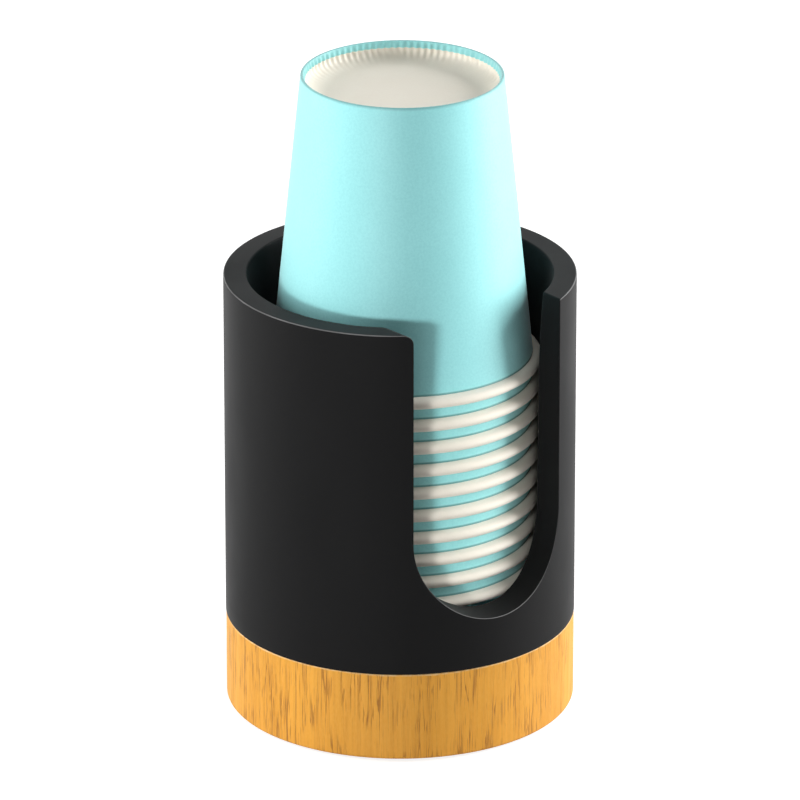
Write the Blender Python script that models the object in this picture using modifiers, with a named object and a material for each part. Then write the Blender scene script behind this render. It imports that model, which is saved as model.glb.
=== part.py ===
"""Cup dispenser: a round holder with a U-shaped front slot, a wooden base and a nest of upturned paper cups.

The holder stands on the XY plane with its axis on Z and its slot facing -Y. Lengths are in metres.
"""

import math

import bmesh
import bpy

OBJECT_NAME = "cup_dispenser"

# Clearances shared by all pieces
SEAT_GAP = 0.0003
PAPER_GAP = 0.00015
OVERRUN = 0.002
WELD_DISTANCE = 0.000001

# Paper cups, upturned: the mouth is down and the base is up
CUP_COUNT = 11
CUP_HEIGHT = 0.0734
CUP_BASE_RADIUS = 0.0243
CUP_FLARE = 0.00746
CUP_BEAD_PROUD = 0.00194
CUP_BEAD_HEIGHT = 0.0030
CUP_RECESS = 0.0052
CUP_FOLD = 0.0018
CUP_FOLD_BREAK = 0.00012
PAPER = 0.0003

# Holder body, whose bore takes the cups and opens out in a lead-in under its rim
BODY_HEIGHT = 0.0872
BODY_WALL = 0.0057
BODY_FLOOR = 0.0059
BORE_CLEARANCE = 0.0016
BORE_DRAFT = 0.0006
LEAD_IN_FLARE = 0.0009
LEAD_IN_HEIGHT = 0.012
RIM_OUTER_ROUND = 0.0008
RIM_INNER_ROUND = 0.0005
FLOOR_ROUND = 0.0006
FOOT_BREAK = 0.0003

# Front slot, its half width taken where the wall faces the front, its sill above the floor
SLOT_HALF_WIDTH = 0.0215
SLOT_DRAFT = 0.0005
SLOT_SILL = 0.0062
SLOT_LEFT_ROUND = 0.0021
SLOT_RIGHT_ROUND = 0.0005
SLOT_EDGE_BREAK = 0.0003

# Wooden base
BASE_HEIGHT = 0.0225
BASE_INSET = 0.0001
BASE_FOOT_ROUND = 0.0008
BASE_TOP_BREAK = 0.0003

# Non-slip pad, let into the wood and standing proud of it
PAD_MARGIN = 0.0059
PAD_THICKNESS = 0.0015
PAD_PROUD = 0.0005

# Bosses under the body, and the screws that draw the base up to them
BOSS_COUNT = 3
BOSS_CIRCLE_RADIUS = 0.026
BOSS_RADIUS = 0.0045
BOSS_LENGTH = 0.008
SCREW_RADIUS = 0.0015
SCREW_BITE = 0.0080
SCREW_POINT = 0.0015
SCREW_WEB = 0.0057
SCREW_HEAD_RADIUS = 0.0031
SCREW_HEAD_HEIGHT = 0.0022
SCREW_HEAD_BREAK = 0.0005
PILOT_SPARE = 0.001

# The nest stands a little off the holder's axis, by a share of the bore's clearance
STACK_SHIFT_SHARE = 0.36
STACK_SHIFT_ANGLE = math.radians(-34)

# Facets round each turned piece
HOLDER_STEPS = 64
BOSS_STEPS = 12
CUP_STEPS = 28
SLOT_STEPS = 16
ROUND_STEPS = 2
BEAD_STEPS = 4
SMOOTH_ANGLE = math.radians(32)
BEVEL_ANGLE = math.radians(50)

# Heights and radii that follow
CUP_MOUTH_RADIUS = CUP_BASE_RADIUS + CUP_FLARE
CUP_TAPER = CUP_FLARE / CUP_HEIGHT
BORE_FLOOR_RADIUS = CUP_MOUTH_RADIUS + CUP_BEAD_PROUD + BORE_CLEARANCE
LEAD_IN_RADIUS = BORE_FLOOR_RADIUS + BORE_DRAFT
BORE_RIM_RADIUS = LEAD_IN_RADIUS + LEAD_IN_FLARE
BODY_RADIUS = BORE_RIM_RADIUS + BODY_WALL
BODY_BOTTOM = BASE_HEIGHT + SEAT_GAP
BODY_TOP = BODY_BOTTOM + BODY_HEIGHT
LEAD_IN_BOTTOM = BODY_TOP - LEAD_IN_HEIGHT
FLOOR_TOP = BODY_BOTTOM + BODY_FLOOR
SLOT_CENTRE = FLOOR_TOP + SLOT_SILL + SLOT_HALF_WIDTH
BASE_RADIUS = BODY_RADIUS - BASE_INSET
PAD_RADIUS = BASE_RADIUS - PAD_MARGIN
PAD_POCKET_RADIUS = PAD_RADIUS + SEAT_GAP
PAD_CEILING = PAD_THICKNESS + SEAT_GAP
BOSS_END = BODY_BOTTOM - BOSS_LENGTH
SOCKET_BOTTOM = BOSS_END - SEAT_GAP
SOCKET_RADIUS = BOSS_RADIUS + SEAT_GAP
PILOT_RADIUS = SCREW_RADIUS + SEAT_GAP
PILOT_TOP = BOSS_END + SCREW_BITE + PILOT_SPARE
HEAD_BORE_RADIUS = SCREW_HEAD_RADIUS + SEAT_GAP
HEAD_BORE_TOP = SOCKET_BOTTOM - SCREW_WEB
SCREW_SEAT = HEAD_BORE_TOP - SEAT_GAP
SCREW_LENGTH = BOSS_END + SCREW_BITE - SCREW_SEAT
CUP_STAND = FLOOR_TOP + SEAT_GAP

# A cup settles on the first of these that it meets on the cup below: base edge, wall or bead
CUP_PITCH = max(
    CUP_RECESS + PAPER + SEAT_GAP,
    (PAPER + PAPER_GAP) / CUP_TAPER,
    CUP_BEAD_HEIGHT + SEAT_GAP,
)

# Colour, roughness and metallic value of each material
BLACK_RESIN = ((0.035, 0.035, 0.036, 1.0), 0.42, 0.0)
PALE_WOOD = ((0.62, 0.33, 0.09, 1.0), 0.55, 0.0)
GREY_FOAM = ((0.05, 0.05, 0.05, 1.0), 0.9, 0.0)
ZINC_STEEL = ((0.55, 0.55, 0.57, 1.0), 0.35, 1.0)
TEAL_PAPER = ((0.31, 0.78, 0.78, 1.0), 0.6, 0.0)
WHITE_PAPER = ((0.86, 0.82, 0.74, 1.0), 0.7, 0.0)


def clear_objects():
    for obj in list(bpy.data.objects):
        bpy.data.objects.remove(obj, do_unlink=True)


def collection(name):
    made = bpy.data.collections.new(name)
    bpy.context.scene.collection.children.link(made)
    return made


def material(name, finish):
    colour, roughness, metallic = finish
    made = bpy.data.materials.new(name)
    made.use_nodes = True
    shader = made.node_tree.nodes["Principled BSDF"]
    shader.inputs["Base Color"].default_value = colour
    shader.inputs["Roughness"].default_value = roughness
    shader.inputs["Metallic"].default_value = metallic
    made.diffuse_color = colour
    return made


def place(name, data, group):
    obj = bpy.data.objects.new(name, data)
    group.objects.link(obj)
    return obj


def as_cutter(obj):
    obj.hide_render = True
    obj.display_type = "WIRE"
    return obj


def arc(centre_r, centre_z, radius, start, end, steps):
    """Points along an arc in the profile plane, from angle start to angle end, both ends included."""
    points = []
    for i in range(steps + 1):
        angle = start + (end - start) * i / steps
        points.append((centre_r + radius * math.cos(angle), centre_z + radius * math.sin(angle)))
    return points


def turned(name, profile, steps, group, closed=False):
    """A profile of (radius, height) points turned about Z by a Screw modifier."""
    mesh = bpy.data.meshes.new(name)
    points = [(radius, 0, height) for radius, height in profile]
    edges = [(i, i + 1) for i in range(len(points) - 1)]
    if closed:
        edges.append((len(points) - 1, 0))
    mesh.from_pydata(points, edges, [])
    obj = place(name, mesh, group)
    screw = obj.modifiers.new("Turn", "SCREW")
    screw.axis = "Z"
    screw.steps = steps
    screw.render_steps = steps
    screw.use_merge_vertices = True
    screw.merge_threshold = WELD_DISTANCE
    screw.use_smooth_shade = True
    return obj


def rod(name, radius, low, high, steps, group, at=(0, 0)):
    """A capped cylinder from height low to height high."""
    mesh = bpy.data.meshes.new(name)
    shape = bmesh.new()
    bmesh.ops.create_cone(
        shape, cap_ends=True, segments=steps, radius1=radius, radius2=radius, depth=high - low
    )
    shape.to_mesh(mesh)
    shape.free()
    obj = place(name, mesh, group)
    obj.location = (at[0], at[1], (low + high) / 2)
    return obj


def combine(obj, other, operation):
    step = obj.modifiers.new(other.name, "BOOLEAN")
    step.operation = operation
    step.object = other
    step.solver = "EXACT"


def settle(obj, finish):
    """Applies the object's modifiers, gives it its material and shades its round faces smooth."""
    evaluated = obj.evaluated_get(bpy.context.evaluated_depsgraph_get())
    mesh = bpy.data.meshes.new_from_object(evaluated)
    obj.modifiers.clear()
    draft = obj.data
    obj.data = mesh
    bpy.data.meshes.remove(draft)
    mesh.name = obj.name
    mesh.materials.clear()
    mesh.materials.append(finish)
    mesh.shade_smooth()
    mesh.set_sharp_from_angle(angle=SMOOTH_ANGLE)
    return obj


def boss_places():
    """The bosses' centres, the first at the back."""
    places = []
    for i in range(BOSS_COUNT):
        angle = math.pi / 2 + 2 * math.pi * i / BOSS_COUNT
        places.append((BOSS_CIRCLE_RADIUS * math.cos(angle), BOSS_CIRCLE_RADIUS * math.sin(angle)))
    return places


def body_profile():
    """Half section of the body, from the middle of its floor over the rim to the middle of its underside."""
    rim_inner = BORE_RIM_RADIUS + RIM_INNER_ROUND
    rim_outer = BODY_RADIUS - RIM_OUTER_ROUND
    floor_edge = BORE_FLOOR_RADIUS - FLOOR_ROUND
    quarter = math.pi / 2
    points = [(0, FLOOR_TOP)]
    points += arc(floor_edge, FLOOR_TOP + FLOOR_ROUND, FLOOR_ROUND, -quarter, 0, ROUND_STEPS)
    points.append((LEAD_IN_RADIUS, LEAD_IN_BOTTOM))
    points += arc(rim_inner, BODY_TOP - RIM_INNER_ROUND, RIM_INNER_ROUND, math.pi, quarter, ROUND_STEPS)
    points += arc(rim_outer, BODY_TOP - RIM_OUTER_ROUND, RIM_OUTER_ROUND, quarter, 0, ROUND_STEPS)
    points += [
        (BODY_RADIUS, BODY_BOTTOM + FOOT_BREAK),
        (BODY_RADIUS - FOOT_BREAK, BODY_BOTTOM),
        (0, BODY_BOTTOM),
    ]
    return points


def slot_outline():
    """The slot seen from the front: open at the top, round at the bottom, its two top corners rounded."""
    left_x = -SLOT_HALF_WIDTH - SLOT_LEFT_ROUND
    right_x = SLOT_HALF_WIDTH + SLOT_RIGHT_ROUND
    quarter = math.pi / 2
    left = arc(left_x, BODY_TOP - SLOT_LEFT_ROUND, SLOT_LEFT_ROUND, quarter, 0, ROUND_STEPS)
    bottom = arc(0, SLOT_CENTRE, SLOT_HALF_WIDTH, math.pi, 2 * math.pi, SLOT_STEPS)
    right = arc(right_x, BODY_TOP - SLOT_RIGHT_ROUND, SLOT_RIGHT_ROUND, math.pi, quarter, ROUND_STEPS)
    lid = [(right_x, BODY_TOP + OVERRUN), (left_x, BODY_TOP + OVERRUN)]
    return left + bottom + right + lid


def flat_outline(name, outline, thickness, group):
    """A closed outline of (x, y) points as a filled 2D curve, extruded to a thickness."""
    curve = bpy.data.curves.new(name, "CURVE")
    curve.dimensions = "2D"
    curve.fill_mode = "BOTH"
    curve.extrude = thickness / 2
    spline = curve.splines.new("POLY")
    spline.points.add(len(outline) - 1)
    for point, (x, y) in zip(spline.points, outline):
        point.co = (x, y, 0, 1)
    spline.use_cyclic_u = True
    return place(name, curve, group)


def slot_cutter(group):
    """A plug through the front wall, drawn in by its draft from the outside to the bore."""
    near = -(BODY_RADIUS + OVERRUN)
    far = -(math.sqrt(BORE_FLOOR_RADIUS ** 2 - SLOT_HALF_WIDTH ** 2) - OVERRUN)
    drawn = flat_outline("slot_outline", slot_outline(), far - near, group)
    drawn.rotation_euler = (math.pi / 2, 0, 0)
    drawn.location = (0, (near + far) / 2, 0)
    bpy.context.view_layer.update()
    mesh = bpy.data.meshes.new_from_object(drawn.evaluated_get(bpy.context.evaluated_depsgraph_get()))
    mesh.transform(drawn.matrix_world)
    bpy.data.objects.remove(drawn, do_unlink=True)
    taper_slot(mesh)
    return as_cutter(place("slot_cutter", mesh, group))


def taper_slot(mesh):
    """Welds the plug's caps and narrows it towards the bore, about the centre of its round bottom."""
    shape = bmesh.new()
    shape.from_mesh(mesh)
    bmesh.ops.remove_doubles(shape, verts=shape.verts, dist=WELD_DISTANCE)
    for vertex in shape.verts:
        inward = (vertex.co.y + BODY_RADIUS) / BODY_WALL
        scale = 1 - inward * SLOT_DRAFT / SLOT_HALF_WIDTH
        vertex.co.x *= scale
        if vertex.co.z < SLOT_CENTRE:
            vertex.co.z = SLOT_CENTRE + (vertex.co.z - SLOT_CENTRE) * scale
    shape.to_mesh(mesh)
    shape.free()


def break_edges(obj, width):
    """Takes the sharp edges off a piece as it stands so far."""
    bevel = obj.modifiers.new("Edge break", "BEVEL")
    bevel.limit_method = "ANGLE"
    bevel.angle_limit = BEVEL_ANGLE
    bevel.width = width
    bevel.segments = 1


def make_holder_body(group, cutters, finish):
    body = turned("holder_body", body_profile(), HOLDER_STEPS, group)
    combine(body, slot_cutter(cutters), "DIFFERENCE")
    break_edges(body, SLOT_EDGE_BREAK)
    boss_root = BODY_BOTTOM + BODY_FLOOR / 2
    for i, at in enumerate(boss_places(), 1):
        boss = rod(f"boss_{i}", BOSS_RADIUS, BOSS_END, boss_root, BOSS_STEPS, cutters, at)
        combine(body, as_cutter(boss), "UNION")
        pilot = rod(f"pilot_{i}", PILOT_RADIUS, BOSS_END - OVERRUN, PILOT_TOP, BOSS_STEPS, cutters, at)
        combine(body, as_cutter(pilot), "DIFFERENCE")
    return settle(body, finish)


def base_profile():
    """Half section of the wooden base, with the pad's pocket underneath."""
    foot_centre = BASE_RADIUS - BASE_FOOT_ROUND
    points = [
        (0, BASE_HEIGHT),
        (BASE_RADIUS - BASE_TOP_BREAK, BASE_HEIGHT),
        (BASE_RADIUS, BASE_HEIGHT - BASE_TOP_BREAK),
    ]
    points += arc(foot_centre, PAD_PROUD + BASE_FOOT_ROUND, BASE_FOOT_ROUND, 0, -math.pi / 2, ROUND_STEPS)
    points += [(PAD_POCKET_RADIUS, PAD_PROUD), (PAD_POCKET_RADIUS, PAD_CEILING), (0, PAD_CEILING)]
    return points


def make_wood_base(group, cutters, finish):
    base = turned("wood_base", base_profile(), HOLDER_STEPS, group)
    below = PAD_CEILING - OVERRUN
    for i, at in enumerate(boss_places(), 1):
        holes = [
            rod(f"socket_{i}", SOCKET_RADIUS, SOCKET_BOTTOM, BASE_HEIGHT + OVERRUN, BOSS_STEPS, cutters, at),
            rod(f"screw_hole_{i}", PILOT_RADIUS, below, SOCKET_BOTTOM + OVERRUN, BOSS_STEPS, cutters, at),
            rod(f"head_bore_{i}", HEAD_BORE_RADIUS, below, HEAD_BORE_TOP, BOSS_STEPS, cutters, at),
        ]
        for hole in holes:
            combine(base, as_cutter(hole), "DIFFERENCE")
    return settle(base, finish)


def make_base_pad(group, finish):
    profile = [(0, PAD_THICKNESS), (PAD_RADIUS, PAD_THICKNESS), (PAD_RADIUS, 0), (0, 0)]
    return settle(turned("base_pad", profile, HOLDER_STEPS, group), finish)


def screw_profile():
    """Half section of a pan-head screw, tip up and head down, measured from the seat under the head."""
    return [
        (0, SCREW_LENGTH),
        (SCREW_RADIUS, SCREW_LENGTH - SCREW_POINT),
        (SCREW_RADIUS, 0),
        (SCREW_HEAD_RADIUS, 0),
        (SCREW_HEAD_RADIUS, -SCREW_HEAD_HEIGHT + SCREW_HEAD_BREAK),
        (SCREW_HEAD_RADIUS - SCREW_HEAD_BREAK, -SCREW_HEAD_HEIGHT),
        (0, -SCREW_HEAD_HEIGHT),
    ]


def make_base_screws(group, finish):
    mesh = None
    for i, (x, y) in enumerate(boss_places(), 1):
        name = f"base_screw_{i}"
        if mesh is None:
            screw = settle(turned(name, screw_profile(), BOSS_STEPS, group), finish)
            mesh = screw.data
        else:
            screw = place(name, mesh, group)
        screw.location = (x, y, SCREW_SEAT)


def wall_radius(height):
    """The outside radius of a cup's wall at a height above its mouth."""
    return CUP_MOUTH_RADIUS - CUP_TAPER * height


def bead_points():
    """The rolled rim outside the wall, from its top edge round to the mouth."""
    inner = wall_radius(CUP_BEAD_HEIGHT)
    outer = CUP_MOUTH_RADIUS + CUP_BEAD_PROUD
    half_height = CUP_BEAD_HEIGHT / 2
    points = []
    for i in range(1, BEAD_STEPS + 1):
        angle = math.pi / 2 - math.pi * i / (BEAD_STEPS + 1)
        across = inner + (outer - inner) * math.cos(angle)
        points.append((across, half_height + half_height * math.sin(angle)))
    return points


def cup_wall_profile():
    """Closed section of a cup's wall: a cone, folded in over the bottom's skirt and rolled at the mouth."""
    top_outer = wall_radius(CUP_HEIGHT)
    fold_outer = top_outer - PAPER - 2 * PAPER_GAP - PAPER
    fold_inner = fold_outer - PAPER
    mouth_inner = wall_radius(0) - PAPER
    outside = [
        (top_outer - CUP_FOLD_BREAK, CUP_HEIGHT),
        (wall_radius(CUP_HEIGHT - CUP_FOLD_BREAK), CUP_HEIGHT - CUP_FOLD_BREAK),
        (wall_radius(CUP_BEAD_HEIGHT), CUP_BEAD_HEIGHT),
    ]
    inside = [
        (mouth_inner, 0),
        (wall_radius(CUP_HEIGHT - PAPER) - PAPER, CUP_HEIGHT - PAPER),
        (fold_outer, CUP_HEIGHT - PAPER),
        (fold_outer, CUP_HEIGHT - CUP_FOLD),
        (fold_inner, CUP_HEIGHT - CUP_FOLD),
        (fold_inner, CUP_HEIGHT - CUP_FOLD_BREAK),
        (fold_inner + CUP_FOLD_BREAK, CUP_HEIGHT),
    ]
    return outside + bead_points() + inside


def cup_bottom_profile():
    """Half section of a cup's bottom: a disc with a skirt that stands up into the wall's fold."""
    disc_top = CUP_HEIGHT - CUP_RECESS
    disc_under = disc_top - PAPER
    skirt_top = CUP_HEIGHT - PAPER - PAPER_GAP
    skirt_outer = wall_radius(CUP_HEIGHT) - PAPER - PAPER_GAP
    skirt_inner = skirt_outer - PAPER
    return [
        (0, disc_top),
        (skirt_inner, disc_top),
        (skirt_inner, skirt_top),
        (skirt_outer, skirt_top),
        (skirt_outer, disc_under),
        (0, disc_under),
    ]


def cup_places():
    """Where each cup's mouth is centred, measured from the cup below, or from the holder for the first."""
    shift = BORE_CLEARANCE * STACK_SHIFT_SHARE
    first = (shift * math.cos(STACK_SHIFT_ANGLE), shift * math.sin(STACK_SHIFT_ANGLE), CUP_STAND)
    return [first] + [(0, 0, CUP_PITCH)] * (CUP_COUNT - 1)


def make_cups(group, wall_finish, bottom_finish):
    """The nest of cups. Each rests with its bottom on the edge of the cup below and lifts off along Z."""
    below = None
    wall_mesh = None
    bottom_mesh = None
    for i, at in enumerate(cup_places(), 1):
        name = f"cup_{i:02d}"
        if below is None:
            wall = settle(turned(f"{name}_wall", cup_wall_profile(), CUP_STEPS, group, True), wall_finish)
            bottom = settle(turned(f"{name}_bottom", cup_bottom_profile(), CUP_STEPS, group), bottom_finish)
            wall_mesh = wall.data
            bottom_mesh = bottom.data
        else:
            wall = place(f"{name}_wall", wall_mesh, group)
            bottom = place(f"{name}_bottom", bottom_mesh, group)
        lift = place(name, None, group)
        lift.location = at
        lift.parent = below
        wall.parent = lift
        bottom.parent = lift
        below = lift


def main():
    clear_objects()
    group = collection(OBJECT_NAME)
    cutters = collection("cutters")
    make_holder_body(group, cutters, material("black_resin", BLACK_RESIN))
    make_wood_base(group, cutters, material("pale_wood", PALE_WOOD))
    make_base_pad(group, material("grey_foam", GREY_FOAM))
    make_base_screws(group, material("zinc_steel", ZINC_STEEL))
    make_cups(group, material("teal_paper", TEAL_PAPER), material("white_paper", WHITE_PAPER))


main()
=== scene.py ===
"""Looks for a cup dispenser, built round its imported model. Drawn in millimetres, stored in metres."""
import math
from collections import namedtuple

import bmesh
import bpy
from mathutils import Matrix, Vector


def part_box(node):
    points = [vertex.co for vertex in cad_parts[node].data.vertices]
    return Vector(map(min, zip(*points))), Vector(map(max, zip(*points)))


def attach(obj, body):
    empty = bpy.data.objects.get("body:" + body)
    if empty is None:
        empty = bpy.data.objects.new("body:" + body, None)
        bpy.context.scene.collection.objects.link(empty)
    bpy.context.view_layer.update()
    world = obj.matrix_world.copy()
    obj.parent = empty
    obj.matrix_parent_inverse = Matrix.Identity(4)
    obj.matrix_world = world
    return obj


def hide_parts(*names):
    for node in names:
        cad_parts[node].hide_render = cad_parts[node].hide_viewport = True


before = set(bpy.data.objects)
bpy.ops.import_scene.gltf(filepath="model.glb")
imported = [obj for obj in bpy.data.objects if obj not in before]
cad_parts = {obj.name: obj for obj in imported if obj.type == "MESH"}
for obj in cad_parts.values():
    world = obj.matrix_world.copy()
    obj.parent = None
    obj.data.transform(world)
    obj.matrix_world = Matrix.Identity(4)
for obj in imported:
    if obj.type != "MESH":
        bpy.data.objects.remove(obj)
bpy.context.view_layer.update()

MM = 0.001
QUARTER = math.pi / 2
CENTRE = Vector((0, 0, 0))

# Camera in metres, fitted to the photograph. It looks a little above its target
CAMERA_AZIMUTH = math.radians(-34.1)
CAMERA_ELEVATION = math.radians(22.39)
CAMERA_DISTANCE = 2.0006
CAMERA_TARGET = Vector((0, 0, 0.060))
CAMERA_TILT = math.radians(0.443)
CAMERA_LENS = 371.3
CAMERA_SENSOR = 36
CAMERA_CLIP = (0.05, 20)

# Floor and light in metres. The floor shines from its near strength at the object to full white further off
FLOOR_REACH = 3.0
FLOOR_GAP = 0.00005
FLOOR_COLOUR = (0.45, 0.45, 0.45, 1)
FLOOR_NEAR = 0.80
FLOOR_FADE = (0.3, 1.0)
AMBIENT = 0.045
LAMP_AIM = Vector((0, 0, 0.09))
WHITE = (1, 1, 1, 1)

# Holder body, whose bore opens out in a lead-in under the rim
BODY_RADIUS = 42.5
BODY_LOW = 22.8
BODY_TOP = 110.0
BODY_WALL = 5.7
FOOT_BREAK = 0.15
FLOOR_TOP = 28.7
FLOOR_ROUND = 0.6
BORE_FLOOR_RADIUS = 35.2
BORE_DRAFT = 0.5
LEAD_IN_HEIGHT = 24.0
LEAD_IN_FLARE = 1.2
BORE_RIM_RADIUS = BORE_FLOOR_RADIUS + BORE_DRAFT + LEAD_IN_FLARE

# Roundings of the rim, which blend into the slot's finer edge over a length of rim, and the painted highlight
# on that edge's inner corner, against up to 1 on its outer one
RIM_OUTER = 0.45
RIM_INNER = 0.4
RIM_BLEND = 7.0
SLOT_BREAK = 0.25
INNER_EDGE_HIGHLIGHT = 0.35

# Front slot, with a corner on its left that is softer on the inside
SLOT_HALF = 21.5
SLOT_DRAFT = 0.5
SLOT_CENTRE = 56.4
SLOT_LEFT = 2.2
SLOT_LEFT_INSIDE = 4.6
SLOT_RIGHT = 0.5
SETTLING_ROUNDS = 24

# Columns of the body's mesh, which fan out below the slot to these angles at the foot
RIM_COLUMNS = 90
RIM_CROWDING = 1.35
LEFT_CORNER_COLUMNS = 14
RIGHT_CORNER_COLUMNS = 5
SIDE_COLUMNS = 36
TURN_COLUMNS = 96
FOOT_SPREAD = math.radians(76)
FOOT_UNDER = math.radians(44)

# Rows of the body's mesh. Some lie at shares of a flat stretch, and one lies close to each side of the edge
FLOOR_SHARES = (0.35, 0.7, 0.95)
FLOOR_ROUND_ROWS = 4
BORE_ROWS = 16
EDGE_ROWS = 6
EDGE_SHARES = (0.08, 0.5, 0.92)
WALL_ROWS = 22
FOOT_ROWS = 3
UNDER_SHARES = (0.97, 0.5)
NEAR_SHARE = 0.2

# Wooden base. Its edge: how far in, how far down and how pale. Its lip: how far down and how pale
WOOD_TOP = 22.76
WOOD_RADIUS = 42.4
WOOD_FLAT_RADIUS = 30
WOOD_EDGE = ((0.35, 0.0, 0.0), (0.15, 0.05, 1.0))
WOOD_LIP = ((0.22, 0.8), (0.42, 0.0))
WOOD_SIDE = (22.0, 19, 14, 9, 5, 2)
WOOD_FOOT = 0.5
WOOD_FOOT_ROUND = 0.8
WOOD_FOOT_STEPS = 8
WOOD_STEPS = 256
WOOD_TURN = math.radians(-20)
POCKET_RADIUS = 36.8
POCKET_TOP = 1.8
POCKET_BREAK = 0.05

# How the wood's lip strays from level: each wave's height, count round the base and shift
LIP_WAVES = ((0.05, 5, 0.4), (0.04, 17, 0), (0.03, 41, 2))

# Paper cups, mouth down, and the points of their fine and coarse rings
CUP_COUNT = 11
CUP_HEIGHT = 73.4
CUP_BASE_RADIUS = 24.3
CUP_FLARE = 7.46
CUP_PAPER = 0.3
FINE = 528
COARSE = 88

# Crimps, which are uneven
CRIMPS = 88
CRIMP_DEPTH = 0.25
CRIMP_UNEVEN = 0.2
CRIMP_WAVES = (3, 7)
CRIMP_SHIFT = 1.1

# Crest of a cup's wall, an arc whose rings are crimped more and more on their way in, with painted shade
# along it
CREST_INSET = 0.335
CREST_HALF_WIDTH = 0.365
CREST_HALF_HEIGHT = 0.35
CREST_STEPS = 6
CREST_CRIMP = 0.01
CREST_SIDE_PAINTED_SHADE = 0.3
CREST_TOP_PAINTED_SHADE = 0.6

# The wall's fold inside its crest: how far in from the base radius and how far down, with crimp and painted
# shade
FOLD_FRONT = ((0.80, 0.75, 0.16, 0.25), (0.88, 1.2, CRIMP_DEPTH, 0.22), (0.94, 1.55, CRIMP_DEPTH, 0.18))
FOLD_BACK = ((0.93, 1.7, CRIMP_DEPTH), (0.86, 1.72, CRIMP_DEPTH), (0.75, 0.9, 0.2))
FOLD_ROOT = ((0.50, 0.48), (0.26, 0.48))

# Heights of the wall's rings
INSIDE_HEIGHTS = (60, 45, 30, 15, 5, 1.2)
OUTSIDE_HEIGHTS = (8, 16, 26, 36, 46, 56, 65, 71, 72.6)

# Mouth: the turn into the bead, how far in and how high, and the bead with painted shade in the crevice above
# it
MOUTH_TURN = ((0.34, 0.35), (0.24, 0.08))
BEAD_HEIGHT = 3.0
BEAD_WIDTH = 2.24
BEAD_START = math.radians(-78)
BEAD_SWEEP = math.radians(162)
BEAD_STEPS = 12
CREVICE_LIFT = 0.02
CREVICE_PAINTED_SHADE = ((0.25, 0.9), (0.6, 0.0))

# Side seam of a cup, a step that fades out round the wall, and how it is turned from cup to cup
SEAM_STEP = 0.16
SEAM_FADE = math.radians(26)
SEAM_WIDTH = math.radians(0.25)
SEAM_FIRST = math.radians(10)
SEAM_SPREAD = math.radians(110)
SEAM_STRIDE = 0.382

# Bottom of a cup: a dished disc that turns up into its skirt
DISC_TOP = 68.2
DISC_CORNER = 3.0
DISC_CORNER_WIDTH = 5.5
DISC_CORNER_STEPS = 10
DISC_DISH = 0.35
DISC_RINGS = (4, 8, 12, 15, 17)
DISC_UNDER_RINGS = (22, 12)
SKIRT_RADIUS = 23.5

# The skirt's front with its crimp, and its back: how far in from the base radius and how far down
SKIRT_FRONT = ((0.78, 1.95, CRIMP_DEPTH), (0.75, 1.5, CRIMP_DEPTH), (0.64, 1.0, 0.18), (0.55, 0.84, 0.1))
SKIRT_BACK = ((0.42, 0.84), (0.20, 4.4), (0.70, 5.45))

# Material slots of a cup's wall
PRINTED, PLAIN = 0, 1

# Colours
RESIN_DEEP = (0.0065, 0.0065, 0.0068, 1)
RESIN_PALE = (0.0095, 0.0095, 0.0098, 1)
# Pale grey of the painted highlights along the holder's edges
RESIN_EDGE_HIGHLIGHT = (0.19, 0.19, 0.19, 1)
WOOD_YELLOW = (0.82, 0.38, 0.045, 1)
WOOD_WARM = (0.72, 0.325, 0.032, 1)
WOOD_FIBRE = (0.60, 0.25, 0.024, 1)
WOOD_STREAK = (0.24, 0.068, 0.003, 1)
WOOD_FLECK = (0.95, 0.58, 0.16, 1)
WOOD_CUT = (0.93, 0.72, 0.40, 1)
TEAL_DEEP = (0.34, 0.80, 0.812, 1)
TEAL_PALE = (0.37, 0.835, 0.847, 1)
TEAL_GRAIN = (0.22, 0.615, 0.635, 1)
TEAL_PAINTED_SHADE = (0.07, 0.24, 0.23, 1)
PAPER_DEEP = (0.91, 0.85, 0.735, 1)
PAPER_PALE = (0.94, 0.89, 0.785, 1)
PAPER_GRAIN = (0.76, 0.68, 0.56, 1)
PAPER_PAINTED_SHADE = (0.60, 0.55, 0.46, 1)
FOAM_DEEP = (0.035, 0.035, 0.036, 1)
FOAM_PALE = (0.07, 0.07, 0.072, 1)
ZINC_COOL = (0.5, 0.5, 0.53, 1)
ZINC_WARM = (0.6, 0.59, 0.58, 1)

# How strongly streaks and the cups' painted shade colour their ground, and fibres stand out of it
STREAK_SHARE = 0.75
TEAL_PAINTED_SHADE_SHARE = 0.9
PAPER_PAINTED_SHADE_SHARE = 0.18
FIBRE_RELIEF_SHARE = 0.3

# Sockets of a Mix node for colours, and the middle of a noise's values
MIX_SHARE, MIX_A, MIX_B, MIX_RESULT = 0, 6, 7, 2
NOISE_MIDDLE = 0.5

EdgePoint = namedtuple("EdgePoint", "outer inner foot rim")
Ring = namedtuple("Ring", "radius z count crimped seam tone slot wave")


def smoothstep(t):
    t = min(1.0, max(0.0, t))
    return t * t * (3 - 2 * t)


def polar(radius, angle, z):
    """A point at an angle from the front, counted positive towards +X."""
    return (radius * math.sin(angle), -radius * math.cos(angle), z)


def front_angle(point):
    return math.atan2(point[0], -point[1])


def mesh_from(name, points, faces):
    """A smooth mesh from points in millimetres."""
    mesh = bpy.data.meshes.new(name)
    mesh.from_pydata([tuple(c * MM for c in p) for p in points], [], faces)
    shape = bmesh.new()
    shape.from_mesh(mesh)
    bmesh.ops.recalc_face_normals(shape, faces=shape.faces)
    shape.to_mesh(mesh)
    shape.free()
    mesh.shade_smooth()
    return mesh


def toned(mesh, tones):
    """Keeps a tone on each point, for its material to use: painted shade on the cups, painted highlights on
    the holder's edges and the pale lip of the wood.
    """
    mesh.attributes.new("tone", "FLOAT", "POINT").data.foreach_set("value", tones)
    return mesh


def add_object(name, data):
    obj = bpy.data.objects.new(name, data)
    bpy.context.scene.collection.objects.link(obj)
    return obj


# Holder body


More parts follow.
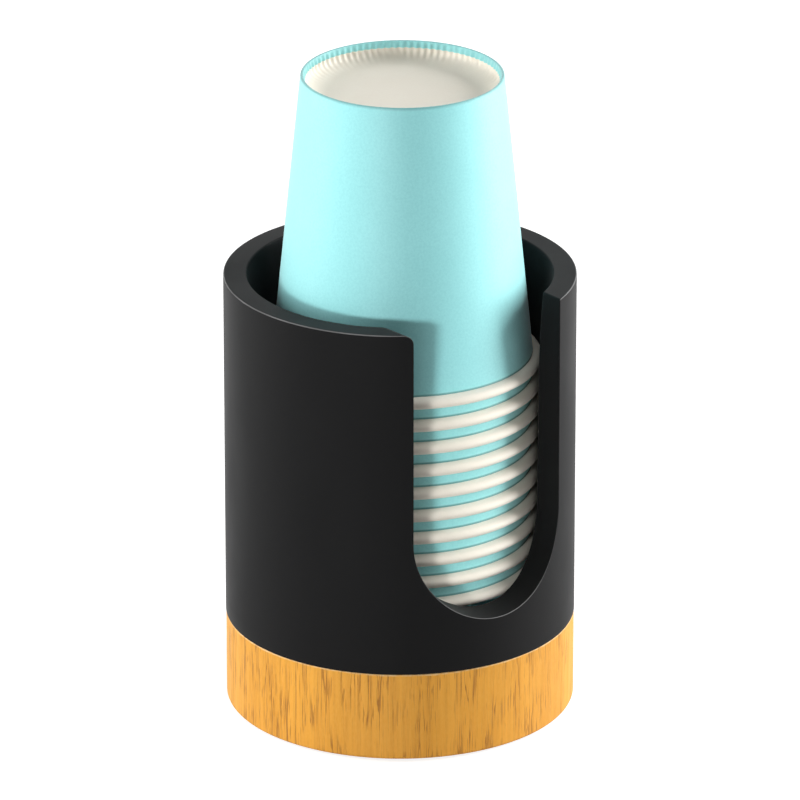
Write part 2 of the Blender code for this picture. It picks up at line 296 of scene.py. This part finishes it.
def bore_radius(z):
    """The bore's draft, and the lead-in in which it opens out under the rim."""
    draft = BORE_DRAFT * (z - FLOOR_TOP) / (BODY_TOP - FLOOR_TOP)
    above = max(0.0, z - (BODY_TOP - LEAD_IN_HEIGHT)) / LEAD_IN_HEIGHT
    return BORE_FLOOR_RADIUS + draft + LEAD_IN_FLARE * above ** 2


def body_radius(z):
    """The outside has no draft, so it is the same at every height."""
    return BODY_RADIUS


def slot_point(x_front, z_front, radius_at):
    """Where a point of the slot's outline, drawn on the front, meets a wall. The slot narrows inwards."""
    y = -BODY_RADIUS
    for _ in range(SETTLING_ROUNDS):
        scale = 1 - (y + BODY_RADIUS) / BODY_WALL * SLOT_DRAFT / SLOT_HALF
        x = x_front * scale
        z = SLOT_CENTRE + (z_front - SLOT_CENTRE) * scale if z_front < SLOT_CENTRE else z_front
        y = -math.sqrt(radius_at(z) ** 2 - x * x)
    return x, y, z


def slot_outline(corner):
    """The slot seen from the front, from its left top corner, rounded to a radius, to its right one."""
    points = []
    top = BODY_TOP - corner
    for i in range(LEFT_CORNER_COLUMNS):
        a = QUARTER * (1 - i / LEFT_CORNER_COLUMNS)
        points.append((-SLOT_HALF - corner + corner * math.cos(a), top + corner * math.sin(a)))
    for i in range(SIDE_COLUMNS):
        points.append((-SLOT_HALF, top + (SLOT_CENTRE - top) * i / SIDE_COLUMNS))
    for i in range(TURN_COLUMNS + 1):
        a = math.pi + math.pi * i / TURN_COLUMNS
        points.append((SLOT_HALF * math.cos(a), SLOT_CENTRE + SLOT_HALF * math.sin(a)))
    top = BODY_TOP - SLOT_RIGHT
    for i in range(1, SIDE_COLUMNS + 1):
        points.append((SLOT_HALF, SLOT_CENTRE + (top - SLOT_CENTRE) * i / SIDE_COLUMNS))
    for i in range(1, RIGHT_CORNER_COLUMNS + 1):
        a = math.pi - QUARTER * i / RIGHT_CORNER_COLUMNS
        points.append((SLOT_HALF + SLOT_RIGHT + SLOT_RIGHT * math.cos(a), top + SLOT_RIGHT * math.sin(a)))
    return points


def slot_foot(i):
    """The angle at the foot below point i of the slot's outline."""
    first = LEFT_CORNER_COLUMNS + SIDE_COLUMNS
    last = first + TURN_COLUMNS
    if i < first:
        return -FOOT_SPREAD + (FOOT_SPREAD - FOOT_UNDER) * i / first
    if i <= last:
        return -FOOT_UNDER + 2 * FOOT_UNDER * (i - first) / TURN_COLUMNS
    return FOOT_UNDER + (FOOT_SPREAD - FOOT_UNDER) * (i - last) / (SIDE_COLUMNS + RIGHT_CORNER_COLUMNS)


def rim_point(end_outer, end_inner, share, side):
    """A point of the rim, a share of the way from its back to an end of the slot, where points lie closer."""
    share = 1 - (1 - share) ** RIM_CROWDING
    back = side * math.pi
    end = front_angle(end_outer)
    a_out = back + (end - back) * share
    a_in = back + (front_angle(end_inner) - back) * share
    return EdgePoint(
        outer=polar(BODY_RADIUS, a_out, BODY_TOP),
        inner=polar(BORE_RIM_RADIUS, a_in, BODY_TOP),
        foot=side * (math.pi + (FOOT_SPREAD - math.pi) * share),
        rim=smoothstep(abs(a_out - end) * BODY_RADIUS / RIM_BLEND),
    )


def body_edge():
    """The wall's free edge, from the back of the rim round the slot and on to the back.

    Each point has the wall's outer and inner corner, an angle at the foot and a share of the rim's rounding.
    """
    outer = [slot_point(x, z, body_radius) for x, z in slot_outline(SLOT_LEFT)]
    inner = [slot_point(x, z, bore_radius) for x, z in slot_outline(SLOT_LEFT_INSIDE)]
    edge = [rim_point(outer[0], inner[0], i / RIM_COLUMNS, -1) for i in range(RIM_COLUMNS)]
    edge += [EdgePoint(outer[i], inner[i], slot_foot(i), 0.0) for i in range(len(outer))]
    edge += [rim_point(outer[-1], inner[-1], i / RIM_COLUMNS, 1) for i in range(RIM_COLUMNS - 1, 0, -1)]
    return edge


def into_wall(points):
    """At each point of an edge, the way across it along the wall's face, into the wall."""
    ways = []
    for i, point in enumerate(points):
        along = (points[(i + 1) % len(points)] - points[i - 1]).normalized()
        face = Vector((point.x, point.y, 0)).normalized()
        ways.append(along.cross(face).normalized())
    # The first point is at the back of the rim, where that way is down
    sign = -math.copysign(1, ways[0].z)
    return [way * sign for way in ways]


def rounded(a, corner, b):
    """Points along a curve that rounds a corner between a and b."""
    shares = [i / EDGE_ROWS for i in range(EDGE_ROWS + 1)]
    return [a * (1 - t) ** 2 + corner * (2 * t * (1 - t)) + b * t * t for t in shares]


def inside_rows(foot, low_in):
    """From the middle of the floor up the bore to the edge's rounding."""
    flat = BORE_FLOOR_RADIUS - FLOOR_ROUND
    start = FLOOR_TOP + FLOOR_ROUND
    rows = [polar(flat * share, foot, FLOOR_TOP) for share in FLOOR_SHARES]
    for i in range(FLOOR_ROUND_ROWS + 1):
        a = QUARTER * (i / FLOOR_ROUND_ROWS - 1)
        z = start + FLOOR_ROUND * math.sin(a)
        r = flat + FLOOR_ROUND * math.cos(a) if i < FLOOR_ROUND_ROWS else bore_radius(z)
        rows.append(polar(r, foot, z))
    a_in = front_angle(low_in)
    for i in list(range(1, BORE_ROWS)) + [BORE_ROWS - NEAR_SHARE]:
        t = i / BORE_ROWS
        z = start + (low_in.z - start) * t
        rows.append(polar(bore_radius(z), foot + (a_in - foot) * t, z))
    rows.append(polar(bore_radius(low_in.z), a_in, low_in.z))
    return rows


def outside_rows(foot, low_out):
    """From the edge's rounding down the outside and in under the body."""
    flat = BODY_RADIUS - FOOT_BREAK
    end = BODY_LOW + FOOT_BREAK
    a_out = front_angle(low_out)
    rows = []
    for i in [0, NEAR_SHARE] + list(range(1, WALL_ROWS + 1)):
        t = i / WALL_ROWS
        rows.append(polar(BODY_RADIUS, a_out + (foot - a_out) * t, low_out.z + (end - low_out.z) * t))
    for i in range(1, FOOT_ROWS + 1):
        a = -QUARTER * i / FOOT_ROWS
        rows.append(polar(flat + FOOT_BREAK * math.cos(a), foot, end + FOOT_BREAK * math.sin(a)))
    return rows + [polar(flat * share, foot, BODY_LOW) for share in UNDER_SHARES]


def body_column(outer, inner, foot, rim, out_down, in_down):
    """One section of the body, from its floor over the wall's edge to its underside, with its painted edge
    highlights.
    """
    out_size = SLOT_BREAK + (RIM_OUTER - SLOT_BREAK) * rim
    in_size = SLOT_BREAK + (RIM_INNER - SLOT_BREAK) * rim
    across = (inner - outer).normalized()
    low_in, low_out = inner + in_down * in_size, outer + out_down * out_size
    from_inner, from_outer = inner - across * in_size, outer + across * out_size
    column = inside_rows(foot, low_in)
    # Painted highlight on the inner rounding near the slot, and on the outer rounding where the edge runs
    # level
    painted_highlights = {len(column) + i: INNER_EDGE_HIGHLIGHT * (1 - rim) for i in range(1, EDGE_ROWS - 2)}
    column += rounded(low_in, inner, from_inner)[1:]
    column += [from_inner + (from_outer - from_inner) * share for share in EDGE_SHARES]
    painted_highlights.update({len(column) + i: abs(out_down.z) for i in range(2, EDGE_ROWS - 1)})
    column += rounded(from_outer, outer, low_out)[:-1]
    column += outside_rows(foot, low_out)
    return column, [painted_highlights.get(i, 0.0) for i in range(len(column))]


def body_mesh():
    edge = body_edge()
    outers = [Vector(point.outer) for point in edge]
    inners = [Vector(point.inner) for point in edge]
    out_downs, in_downs = into_wall(outers), into_wall(inners)
    count = len(edge)
    columns = [
        body_column(outers[i], inners[i], edge[i].foot, edge[i].rim, out_downs[i], in_downs[i])
        for i in range(count)
    ]
    rows = len(columns[0][0])
    points = [p for column, _ in columns for p in column]
    tones = [tone for _, painted_highlights in columns for tone in painted_highlights] + [0.0, 0.0]
    top, under = len(points), len(points) + 1
    points += [(0, 0, FLOOR_TOP), (0, 0, BODY_LOW)]
    faces = []
    for i in range(count):
        here, there = i * rows, (i + 1) % count * rows
        faces += [(here + j, there + j, there + j + 1, here + j + 1) for j in range(rows - 1)]
        faces += [(top, there, here), (under, here + rows - 1, there + rows - 1)]
    return toned(mesh_from("holder", points, faces), tones)


# Turned pieces, the cups' crimps and seams among them


def lathe_angle(j, count):
    """Even steps, apart from a first narrow one in which a cup's seam lies."""
    turn, first = j / count, 1 / COARSE
    if turn <= first:
        return SEAM_WIDTH * turn / first
    return SEAM_WIDTH + (2 * math.pi - SEAM_WIDTH) * (turn - first) / (1 - first)


def seam_offset(angle):
    """How far in a cup's wall lies beside its seam."""
    if angle < SEAM_WIDTH:
        return -SEAM_STEP * angle / SEAM_WIDTH
    return -SEAM_STEP * (1 - smoothstep((angle - SEAM_WIDTH) / SEAM_FADE))


def crimp(angle):
    """The crimps' uneven wave, from -1 to 1."""
    slow, quick = CRIMP_WAVES
    uneven = math.sin(slow * angle + CRIMP_SHIFT) * math.sin(quick * angle)
    return math.sin(CRIMPS * angle) * (1 - CRIMP_UNEVEN + CRIMP_UNEVEN * uneven)


class Lathe:
    """Rings from the profile of a turned piece, joined into a closed mesh with a tone on each point.

    A closed profile runs round the section of a wall. An open one starts and ends on the axis.
    """

    def __init__(self, closed):
        self.rings = []
        self.closed = closed

    def ring(self, radius, z, count=COARSE, crimped=0.0, seam=0.0, tone=0.0, slot=PRINTED, wave=None):
        self.rings.append(Ring(radius, z, count, crimped, seam, tone, slot, wave))

    def mesh(self, name):
        points, starts, tones = [], [], []
        for ring in self.rings:
            starts.append(len(points))
            for j in range(ring.count):
                a = lathe_angle(j, ring.count)
                r = ring.radius + ring.crimped * crimp(a) + ring.seam * seam_offset(a)
                z = ring.z + (ring.wave(a) if ring.wave else 0)
                points.append((r * math.cos(a), r * math.sin(a), z))
                tones.append(ring.tone)
        faces, slots = [], []
        total = len(self.rings)
        for i in range(total if self.closed else total - 1):
            k = (i + 1) % total
            here, there = self.rings[i].count, self.rings[k].count
            parts = max(here, there) if min(here, there) == 1 else min(here, there)
            for j in range(parts):
                face = self.run(starts[i], here, parts, j) + self.run(starts[k], there, parts, j)[::-1]
                faces.append(tuple(face))
                slots.append(self.rings[i].slot)
        mesh = mesh_from(name, points, faces)
        mesh.polygons.foreach_set("material_index", slots)
        return toned(mesh, tones)

    @staticmethod
    def run(start, count, parts, j):
        """The points of one ring that belong to part j of a band."""
        if count == 1:
            return [start]
        step = count // parts
        return [start + (j * step + t) % count for t in range(step + 1)]


def wall_radius(z):
    """The outside of a cup's wall."""
    return CUP_BASE_RADIUS + CUP_FLARE * (1 - z / CUP_HEIGHT)


def cup_wall_mesh():
    """A printed cone, its crest folded in over the skirt, with the plain inside rolled out into a bead."""
    cup = Lathe(closed=True)
    middle, height = CUP_BASE_RADIUS - CREST_INSET, CUP_HEIGHT - CREST_HALF_HEIGHT
    for i in range(CREST_STEPS + 1):
        a = math.pi * i / CREST_STEPS
        r, z = middle + CREST_HALF_WIDTH * math.cos(a), height + CREST_HALF_HEIGHT * math.sin(a)
        seam = 1.0 if i < 2 else 0.0
        # Painted shade along the crest's fold, deeper over its top
        tone = CREST_TOP_PAINTED_SHADE if 1 <= i <= CREST_STEPS - 2 else CREST_SIDE_PAINTED_SHADE
        cup.ring(r, z, FINE, CREST_CRIMP * i, seam, tone)
    # Painted shade on the front of the fold, fading downwards
    for inset, down, crimped, tone in FOLD_FRONT:
        cup.ring(CUP_BASE_RADIUS - inset, CUP_HEIGHT - down, FINE, crimped, tone=tone)
    for inset, down, crimped in FOLD_BACK:
        cup.ring(CUP_BASE_RADIUS - inset, CUP_HEIGHT - down, FINE, crimped, slot=PLAIN)
    for inset, down in FOLD_ROOT:
        cup.ring(CUP_BASE_RADIUS - inset, CUP_HEIGHT - down, slot=PLAIN)
    for z in INSIDE_HEIGHTS:
        cup.ring(wall_radius(z) - CUP_PAPER, z, slot=PLAIN)
    for inset, z in MOUTH_TURN:
        cup.ring(wall_radius(0) - inset, z, slot=PLAIN)
    root, half = wall_radius(BEAD_HEIGHT), BEAD_HEIGHT / 2
    for i in range(BEAD_STEPS + 1):
        a = BEAD_START + BEAD_SWEEP * i / BEAD_STEPS
        cup.ring(root + BEAD_WIDTH * math.cos(a), half + half * math.sin(a), slot=PLAIN)
    # Painted shade, darkest in the crevice just above the bead, fading up the wall
    cup.ring(root + CREVICE_LIFT, BEAD_HEIGHT + CREVICE_LIFT, tone=1.0)
    for above, tone in CREVICE_PAINTED_SHADE:
        cup.ring(wall_radius(BEAD_HEIGHT + above), BEAD_HEIGHT + above, tone=tone)
    for z in OUTSIDE_HEIGHTS:
        cup.ring(wall_radius(z), z, seam=1.0)
    return cup.mesh("cup_wall")


def cup_bottom_mesh():
    """A disc whose skirt stands up into the wall's fold and is crimped with it."""
    cup = Lathe(closed=False)
    flat = SKIRT_RADIUS - DISC_CORNER_WIDTH
    cup.ring(0, DISC_TOP, 1)
    for r in DISC_RINGS:
        cup.ring(r, DISC_TOP + DISC_DISH * (r / flat) ** 2)
    for i in range(DISC_CORNER_STEPS + 1):
        share = i / DISC_CORNER_STEPS
        a = QUARTER * (share - 1)
        z = DISC_TOP + DISC_DISH + (DISC_CORNER - DISC_DISH) * (1 + math.sin(a))
        cup.ring(flat + DISC_CORNER_WIDTH * math.cos(a), z, FINE, CRIMP_DEPTH * share ** 2)
    for inset, down, crimped in SKIRT_FRONT:
        cup.ring(CUP_BASE_RADIUS - inset, CUP_HEIGHT - down, FINE, crimped)
    for inset, down in SKIRT_BACK:
        cup.ring(CUP_BASE_RADIUS - inset, CUP_HEIGHT - down)
    for r in DISC_UNDER_RINGS:
        cup.ring(r, DISC_TOP - CUP_PAPER)
    cup.ring(0, DISC_TOP - CUP_PAPER, 1)
    return cup.mesh("cup_bottom")


def hand_cut(angle):
    """How far the wood's lip strays from level."""
    return sum(height * math.sin(count * angle + shift) for height, count, shift in LIP_WAVES)


def wood_mesh():
    """A disc with a pale lip, a rounded foot and a pocket for the pad."""
    base = Lathe(closed=False)
    base.ring(0, WOOD_TOP, 1)
    base.ring(WOOD_FLAT_RADIUS, WOOD_TOP, WOOD_STEPS)
    for inset, down, tone in WOOD_EDGE:
        base.ring(WOOD_RADIUS - inset, WOOD_TOP - down, WOOD_STEPS, tone=tone)
    for down, tone in WOOD_LIP:
        base.ring(WOOD_RADIUS, WOOD_TOP - down, WOOD_STEPS, tone=tone, wave=hand_cut)
    for z in WOOD_SIDE:
        base.ring(WOOD_RADIUS, z, WOOD_STEPS)
    foot_radius, foot_height = WOOD_RADIUS - WOOD_FOOT_ROUND, WOOD_FOOT + WOOD_FOOT_ROUND
    for i in range(WOOD_FOOT_STEPS + 1):
        a = -QUARTER * i / WOOD_FOOT_STEPS
        r, z = foot_radius + WOOD_FOOT_ROUND * math.cos(a), foot_height + WOOD_FOOT_ROUND * math.sin(a)
        base.ring(r, z, WOOD_STEPS)
    base.ring(POCKET_RADIUS + POCKET_BREAK, WOOD_FOOT, WOOD_STEPS)
    base.ring(POCKET_RADIUS, WOOD_FOOT + POCKET_BREAK, WOOD_STEPS)
    base.ring(POCKET_RADIUS, POCKET_TOP, WOOD_STEPS)
    base.ring(0, POCKET_TOP, 1)
    return base.mesh("wood")


# Materials


class Nodes:
    """A material's node tree, with short ways to add to it."""

    def __init__(self, name):
        self.material = bpy.data.materials.new(name)
        self.material.use_nodes = True
        self.tree = self.material.node_tree
        self.shader = self.tree.nodes["Principled BSDF"]
        self.place = self.add("ShaderNodeTexCoord").outputs["Object"]

    def add(self, kind, **values):
        node = self.tree.nodes.new(kind)
        for name, value in values.items():
            setattr(node, name, value)
        return node

    def join(self, source, target):
        self.tree.links.new(source, target)

    def put(self, socket, value):
        """Sets a socket, or links it where value is another node's output."""
        if isinstance(value, bpy.types.NodeSocket):
            self.join(value, socket)
        else:
            socket.default_value = value

    def noise(self, across, along=None, detail=2.0, roughness=0.5, distortion=0.0):
        """Noise of so many cells to a metre across, and along Z where that differs."""
        scaled = self.add("ShaderNodeMapping")
        scaled.inputs["Scale"].default_value = (across, across, along or across)
        self.join(self.place, scaled.inputs["Vector"])
        node = self.add("ShaderNodeTexNoise")
        self.join(scaled.outputs["Vector"], node.inputs["Vector"])
        node.inputs["Scale"].default_value = 1.0
        node.inputs["Detail"].default_value = detail
        node.inputs["Roughness"].default_value = roughness
        node.inputs["Distortion"].default_value = distortion
        return node.outputs["Fac"]

    def steps(self, source, low, high, start=0.0, end=1.0):
        """Maps source from low..high to start..end, smoothly and held at both ends."""
        node = self.add("ShaderNodeMapRange", interpolation_type="SMOOTHSTEP")
        self.join(source, node.inputs["Value"])
        node.inputs["From Min"].default_value = low
        node.inputs["From Max"].default_value = high
        node.inputs["To Min"].default_value = start
        node.inputs["To Max"].default_value = end
        return node.outputs["Result"]

    def math(self, operation, a, b=0.0):
        node = self.add("ShaderNodeMath", operation=operation)
        self.put(node.inputs[0], a)
        self.put(node.inputs[1], b)
        return node.outputs["Value"]

    def mix(self, share, a, b):
        node = self.add("ShaderNodeMix", data_type="RGBA")
        self.put(node.inputs[MIX_SHARE], share)
        self.put(node.inputs[MIX_A], a)
        self.put(node.inputs[MIX_B], b)
        return node.outputs[MIX_RESULT]

    def tone(self):
        return self.add("ShaderNodeAttribute", attribute_name="tone").outputs["Fac"]

    def bump(self, height, depth, strength):
        node = self.add("ShaderNodeBump")
        node.inputs["Strength"].default_value = strength
        node.inputs["Distance"].default_value = depth
        self.join(height, node.inputs["Height"])
        self.join(node.outputs["Normal"], self.shader.inputs["Normal"])

    def finish(self, colour, roughness, metallic=0.0, specular=0.5, sheen=0.0):
        self.put(self.shader.inputs["Base Color"], colour)
        self.put(self.shader.inputs["Roughness"], roughness)
        self.shader.inputs["Metallic"].default_value = metallic
        self.shader.inputs["Specular IOR Level"].default_value = specular
        self.shader.inputs["Sheen Weight"].default_value = sheen
        return self.material


def black_resin():
    """Matt black plastic, with pale painted highlights along the rim's outer edge and the slot's edges,
    broken up by a mottle.
    """
    n = Nodes("black_resin_look")
    cloud = n.noise(across=60, along=30, detail=3)
    grain = n.noise(across=2600, detail=2)
    # Painted highlights along the rounded edges, from the tone, broken up by the cloud
    edge_highlight = n.math("MULTIPLY", n.tone(), n.steps(cloud, low=0.3, high=0.6, start=0.6))
    colour = n.mix(cloud, RESIN_DEEP, RESIN_PALE)
    colour = n.mix(edge_highlight, colour, RESIN_EDGE_HIGHLIGHT)
    roughness = n.steps(cloud, low=0.3, high=0.7, start=0.46, end=0.54)
    n.bump(grain, depth=0.00002, strength=0.35)
    return n.finish(colour, roughness, specular=0.055, sheen=0.03)


def pale_wood():
    """Yellow wood with broad bands, fine fibre, and upright brown streaks that come in patches."""
    n = Nodes("pale_wood_look")
    band = n.noise(across=70, along=9, detail=3, roughness=0.55)
    fibre = n.noise(across=900, along=38, detail=3, roughness=0.6, distortion=0.3)
    fleck = n.noise(across=3200, along=900, detail=1)
    vein = n.noise(across=560, along=16, detail=3, roughness=0.6, distortion=0.4)
    tick = n.noise(across=2200, along=130, detail=1, distortion=0.2)
    patch = n.noise(across=120, along=70, detail=2)
    colour = n.mix(n.steps(band, low=0.35, high=0.68), WOOD_YELLOW, WOOD_WARM)
    colour = n.mix(n.steps(fibre, low=0.35, high=0.7, end=0.4), colour, WOOD_FIBRE)
    # A vein is the thin line along which its noise passes the middle
    beside = n.math("ABSOLUTE", n.math("SUBTRACT", vein, NOISE_MIDDLE))
    veins = n.steps(beside, low=0.006, high=0.026, start=1.0, end=0.0)
    veins = n.math("MULTIPLY", veins, n.steps(patch, low=0.40, high=0.58, start=0.1))
    ticks = n.steps(tick, low=0.61, high=0.67)
    ticks = n.math("MULTIPLY", ticks, n.steps(patch, low=0.36, high=0.58, start=0.15, end=0.75))
    streak = n.math("MAXIMUM", veins, ticks)
    colour = n.mix(n.math("MULTIPLY", streak, STREAK_SHARE), colour, WOOD_STREAK)
    colour = n.mix(n.steps(fleck, low=0.3, high=0.75, end=0.10), colour, WOOD_FLECK)
    cut = n.math("MULTIPLY", n.tone(), n.steps(fibre, low=0.35, high=0.65, start=0.2, end=0.7))
    colour = n.mix(cut, colour, WOOD_CUT)
    relief = n.math("SUBTRACT", n.math("MULTIPLY", fibre, FIBRE_RELIEF_SHARE), streak)
    n.bump(relief, depth=0.00012, strength=0.45)
    return n.finish(colour, n.steps(fibre, low=0.3, high=0.7, start=0.50, end=0.62), specular=0.35)


def printed_paper():
    """The cups' teal outside, with paper grain and painted shade along the crest, on the fold and in the
    crevice above the bead.
    """
    n = Nodes("teal_paper_look")
    cloud = n.noise(across=90, detail=2)
    grain = n.noise(across=1700, detail=4, roughness=0.7)
    colour = n.mix(cloud, TEAL_DEEP, TEAL_PALE)
    colour = n.mix(n.steps(grain, low=0.32, high=0.70, end=0.26), colour, TEAL_GRAIN)
    # Painted shade from the tone
    colour = n.mix(n.math("MULTIPLY", n.tone(), TEAL_PAINTED_SHADE_SHARE), colour, TEAL_PAINTED_SHADE)
    roughness = n.steps(grain, low=0.3, high=0.7, start=0.46, end=0.58)
    n.bump(grain, depth=0.00006, strength=0.5)
    return n.finish(colour, roughness, specular=0.4, sheen=0.35)


def plain_paper():
    """The cups' warm white inside, bead and bottom, with painted shade where the bead meets the crevice above
    it.
    """
    n = Nodes("white_paper_look")
    cloud = n.noise(across=120, detail=3)
    grain = n.noise(across=2100, detail=3, roughness=0.6)
    colour = n.mix(cloud, PAPER_DEEP, PAPER_PALE)
    colour = n.mix(n.steps(grain, low=0.35, high=0.75, end=0.12), colour, PAPER_GRAIN)
    # Painted shade from the tone
    colour = n.mix(n.math("MULTIPLY", n.tone(), PAPER_PAINTED_SHADE_SHARE), colour, PAPER_PAINTED_SHADE)
    n.bump(grain, depth=0.00004, strength=0.4)
    return n.finish(colour, roughness=0.56, specular=0.4, sheen=0.08)


def foam_rubber():
    """The pad under the wood."""
    n = Nodes("grey_foam_look")
    cell = n.noise(across=1500, detail=2)
    n.bump(cell, depth=0.0001, strength=0.6)
    return n.finish(n.mix(cell, FOAM_DEEP, FOAM_PALE), roughness=0.88, specular=0.3)


def zinc_steel():
    """The screws that hold the wood."""
    n = Nodes("zinc_steel_look")
    mottle = n.noise(across=700, detail=2)
    colour = n.mix(mottle, ZINC_COOL, ZINC_WARM)
    return n.finish(colour, n.steps(mottle, low=0.3, high=0.7, start=0.28, end=0.42), metallic=1.0)


# Pieces


def dress(name, mesh, body, slot, place, turn, *materials):
    """A piece in place of the CAD node of its own name. The mesh is turned, so that its box stays snug."""
    mesh = mesh.copy()
    mesh.transform(Matrix.Rotation(turn, 4, "Z"))
    for material in materials:
        mesh.materials.append(material)
    piece = add_object(name + "_piece", mesh)
    piece.location = place
    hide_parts(name)
    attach(piece, body)


def dress_cups():
    """Every cup has the same meshes, each turned its own way, and stands where its CAD wall does."""
    printed, plain = printed_paper(), plain_paper()
    wall_mesh, bottom_mesh = cup_wall_mesh(), cup_bottom_mesh()
    for i in range(1, CUP_COUNT + 1):
        cup = f"cup_{i:02d}"
        low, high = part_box(cup + "_wall")
        mouth = Vector(((low.x + high.x) / 2, (low.y + high.y) / 2, low.z))
        turn = SEAM_FIRST + SEAM_SPREAD * (i * SEAM_STRIDE % 1)
        dress(cup + "_wall", wall_mesh, cup, "teal_paper", mouth, turn, printed, plain)
        dress(cup + "_bottom", bottom_mesh, cup, "white_paper", mouth, turn, plain)


def finish_fixings():
    """The pad and the screws keep their CAD shapes and get their materials."""
    foam, steel = foam_rubber(), zinc_steel()
    for name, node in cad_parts.items():
        if name.startswith("base_"):
            look = foam if name == "base_pad" else steel
            for slot in node.material_slots:
                slot.material = look


def build_pieces():
    dress("holder_body", body_mesh(), "holder", "black_resin", CENTRE, 0, black_resin())
    dress("wood_base", wood_mesh(), "holder", "pale_wood", CENTRE, WOOD_TURN, pale_wood())
    dress_cups()
    finish_fixings()


# Stage, camera and light


def towards(azimuth, elevation):
    """A direction that an azimuth and elevation give: azimuth 0 is the front, -Y."""
    return Vector((
        math.sin(azimuth) * math.cos(elevation),
        -math.cos(azimuth) * math.cos(elevation),
        math.sin(elevation),
    ))


def set_camera():
    camera = bpy.data.cameras.new("camera")
    camera.lens = CAMERA_LENS
    camera.sensor_width = CAMERA_SENSOR
    camera.clip_start, camera.clip_end = CAMERA_CLIP
    stand = add_object("camera", camera)
    stand.location = CAMERA_TARGET + towards(CAMERA_AZIMUTH, CAMERA_ELEVATION) * CAMERA_DISTANCE
    looking = -towards(CAMERA_AZIMUTH, CAMERA_ELEVATION - CAMERA_TILT)
    stand.rotation_euler = looking.to_track_quat("-Z", "Y").to_euler()
    bpy.context.scene.camera = stand


def calculated(tree, operation, a, b):
    node = tree.nodes.new("ShaderNodeMath")
    node.operation = operation
    tree.links.new(a, node.inputs[0])
    tree.links.new(b, node.inputs[1])
    return node.outputs["Value"]


def mapped(tree, source, near, far, start, end):
    """Maps source from near..far to start..end, held at both ends."""
    node = tree.nodes.new("ShaderNodeMapRange")
    tree.links.new(source, node.inputs["Value"])
    node.inputs["From Min"].default_value = near
    node.inputs["From Max"].default_value = far
    node.inputs["To Min"].default_value = start
    node.inputs["To Max"].default_value = end
    return node.outputs["Result"]


def seen_directly(tree):
    """1 for rays that show the background: camera, glossy and transmission rays."""
    path = tree.nodes.new("ShaderNodeLightPath").outputs
    total = calculated(tree, "MAXIMUM", path["Is Camera Ray"], path["Is Glossy Ray"])
    return calculated(tree, "MAXIMUM", total, path["Is Transmission Ray"])


def set_world():
    """White where it is seen, and a faint light on the object."""
    world = bpy.data.worlds.new("studio")
    bpy.context.scene.world = world
    world.use_nodes = True
    tree = world.node_tree
    back = tree.nodes["Background"]
    back.inputs["Color"].default_value = WHITE
    strength = mapped(tree, seen_directly(tree), near=0, far=1, start=AMBIENT, end=1)
    tree.links.new(strength, back.inputs["Strength"])


def floor_look():
    """A pale floor that takes the object's shadow, and that shines white where it is seen."""
    material = bpy.data.materials.new("floor_look")
    material.use_nodes = True
    tree = material.node_tree
    tree.nodes.clear()
    pale = tree.nodes.new("ShaderNodeBsdfDiffuse")
    pale.inputs["Color"].default_value = FLOOR_COLOUR
    place = tree.nodes.new("ShaderNodeTexCoord")
    away = tree.nodes.new("ShaderNodeVectorMath")
    away.operation = "LENGTH"
    tree.links.new(place.outputs["Object"], away.inputs[0])
    near, far = FLOOR_FADE
    fade = mapped(tree, away.outputs["Value"], near, far, start=FLOOR_NEAR, end=1)
    white = tree.nodes.new("ShaderNodeEmission")
    tree.links.new(calculated(tree, "MULTIPLY", seen_directly(tree), fade), white.inputs["Strength"])
    both = tree.nodes.new("ShaderNodeAddShader")
    tree.links.new(pale.outputs["BSDF"], both.inputs[0])
    tree.links.new(white.outputs["Emission"], both.inputs[1])
    out = tree.nodes.new("ShaderNodeOutputMaterial")
    tree.links.new(both.outputs["Shader"], out.inputs["Surface"])
    return material


def set_floor():
    """One large face, a hair below the pad."""
    mesh = bpy.data.meshes.new("floor")
    corners = [(x * FLOOR_REACH, y * FLOOR_REACH, 0) for x, y in ((-1, -1), (1, -1), (1, 1), (-1, 1))]
    mesh.from_pydata(corners, [], [(0, 1, 2, 3)])
    floor = add_object("floor", mesh)
    floor.location.z = -FLOOR_GAP
    mesh.materials.append(floor_look())


def soft_light(name, azimuth, elevation, distance, width, height, power):
    """A softbox that faces the object, at an azimuth in degrees counted from the camera's."""
    light = bpy.data.lights.new(name, "AREA")
    light.shape = "RECTANGLE"
    light.size = width
    light.size_y = height
    light.energy = power
    lamp = add_object(name, light)
    direction = towards(CAMERA_AZIMUTH + math.radians(azimuth), math.radians(elevation))
    lamp.location = LAMP_AIM + direction * distance
    lamp.rotation_euler = (-direction).to_track_quat("-Z", "Y").to_euler()
    lamp.visible_camera = False


def set_lights():
    soft_light("left_softbox", azimuth=-90, elevation=17, distance=0.9, width=0.35, height=0.75, power=7.6)
    soft_light("right_softbox", azimuth=103, elevation=17, distance=0.9, width=0.5, height=0.75, power=14.6)
    soft_light("key_softbox", azimuth=-23, elevation=7, distance=1.1, width=0.16, height=0.12, power=5.6)
    soft_light("front_softbox", azimuth=0, elevation=30, distance=1.3, width=0.8, height=0.6, power=0.6)
    soft_light("back_softbox", azimuth=180, elevation=60, distance=1.1, width=0.8, height=0.6, power=1.8)


build_pieces()
set_camera()
set_world()
set_floor()
set_lights()
bpy.context.scene.view_settings.view_transform = "Standard"
